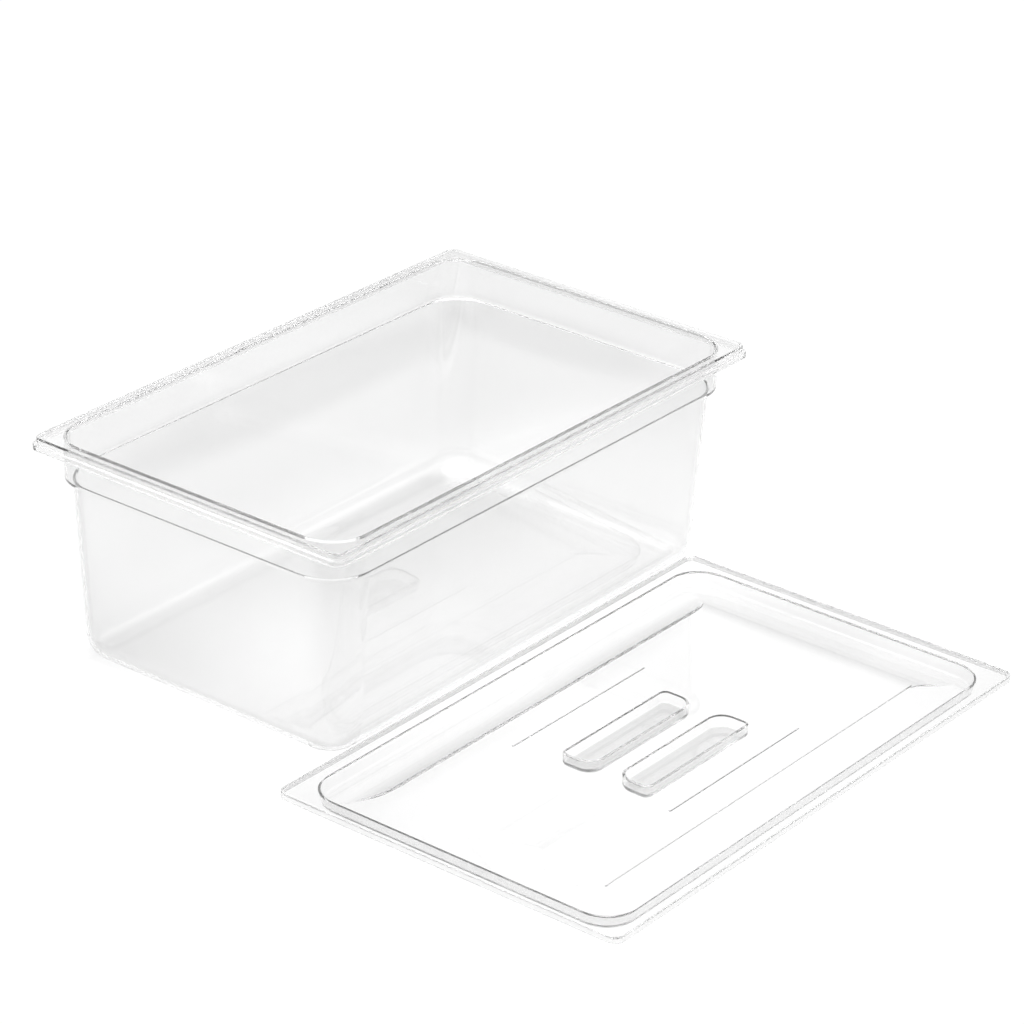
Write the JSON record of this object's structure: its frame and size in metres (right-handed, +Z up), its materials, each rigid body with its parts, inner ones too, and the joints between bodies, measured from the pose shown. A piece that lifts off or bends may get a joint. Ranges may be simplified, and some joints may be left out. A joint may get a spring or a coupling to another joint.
{
  "type": "food pan with lid",
  "caption": "Deep clear rectangular food pan with a hooked rim and stacking shoulder, and a matching flat lid with a moulded pinch grip.",
  "frame": {"origin": "middle of the pan's base face, on the surface that the pan stands on", "axes": "+X along the pan's long side, +Y along its short side and away from the lid, +Z up"},
  "size_m": [0.584, 0.635, 0.2],
  "materials": {
    "clear_pan": "clear glossy polycarbonate with a fine moulding haze",
    "clear_lid": "clear glossy polycarbonate"
  },
  "bodies": {
    "pan": {"pan": "clear_pan"},
    "lid": {"lid": "clear_lid"}
  },
  "joints": [
    {"name": "lid_lift", "type": "slide", "parent": "pan", "child": "lid", "axis": [0, -0.1392, 0.9903], "range_m": [0, 0.3]}
  ]
}
